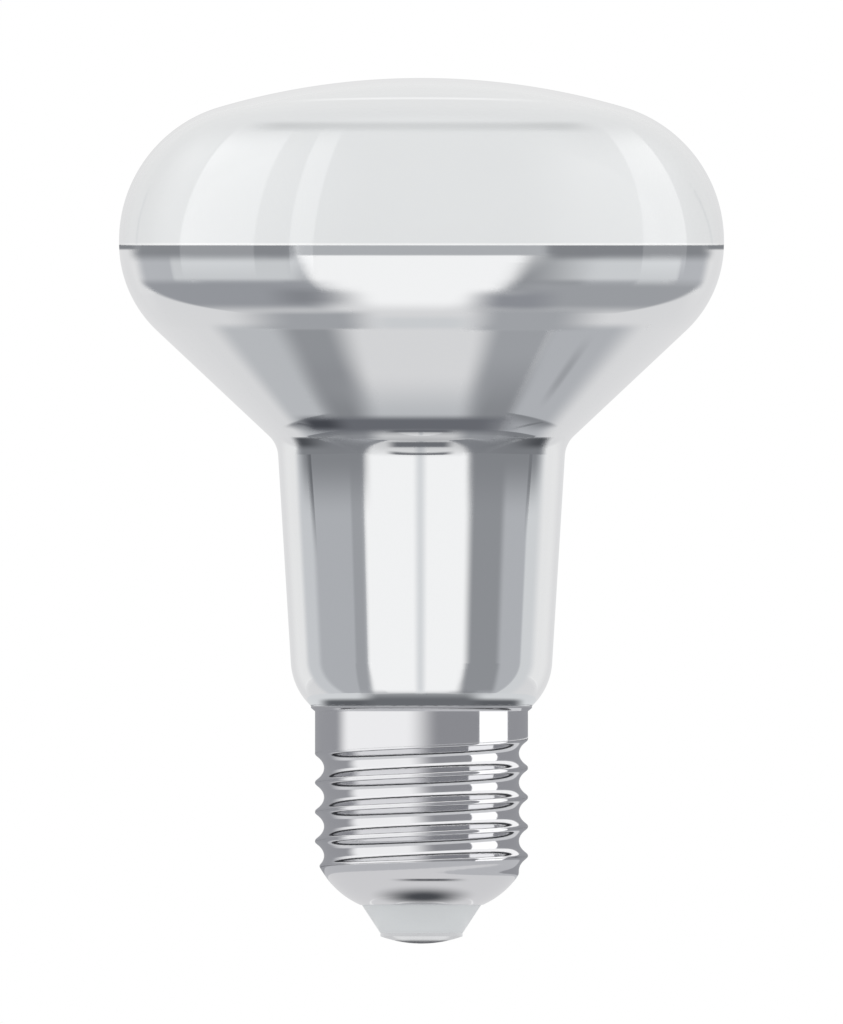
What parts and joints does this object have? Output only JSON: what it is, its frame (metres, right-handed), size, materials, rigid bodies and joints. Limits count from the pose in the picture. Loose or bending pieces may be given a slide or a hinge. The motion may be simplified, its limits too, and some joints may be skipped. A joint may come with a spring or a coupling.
{
  "type": "reflector bulb",
  "caption": "Mushroom-shaped reflector lamp: frosted domed face, mirrored glass bowl and neck, and a screw cap with a centre contact that holds it and feeds it.",
  "frame": {"origin": "tip of the centre contact, on the lamp axis", "axes": "+Z along the lamp axis from the contact to the frosted face; +X is where the thread's phase is measured from"},
  "size_m": [0.075, 0.075, 0.1073],
  "materials": {
    "coated_glass": "glossy glass, frosted face, mirrored bowl and neck",
    "cap_metal": "bright nickel-plated sheet",
    "insulator": "moulded, satin",
    "contact_metal": "pressed, nickel-plated",
    "cement": "matte"
  },
  "bodies": {
    "root": {"glass_bulb": "coated_glass", "cap_shell": "cap_metal", "cap_insulator": "insulator", "centre_contact": "contact_metal", "basing_cement": "cement"}
  },
  "joints": []
}
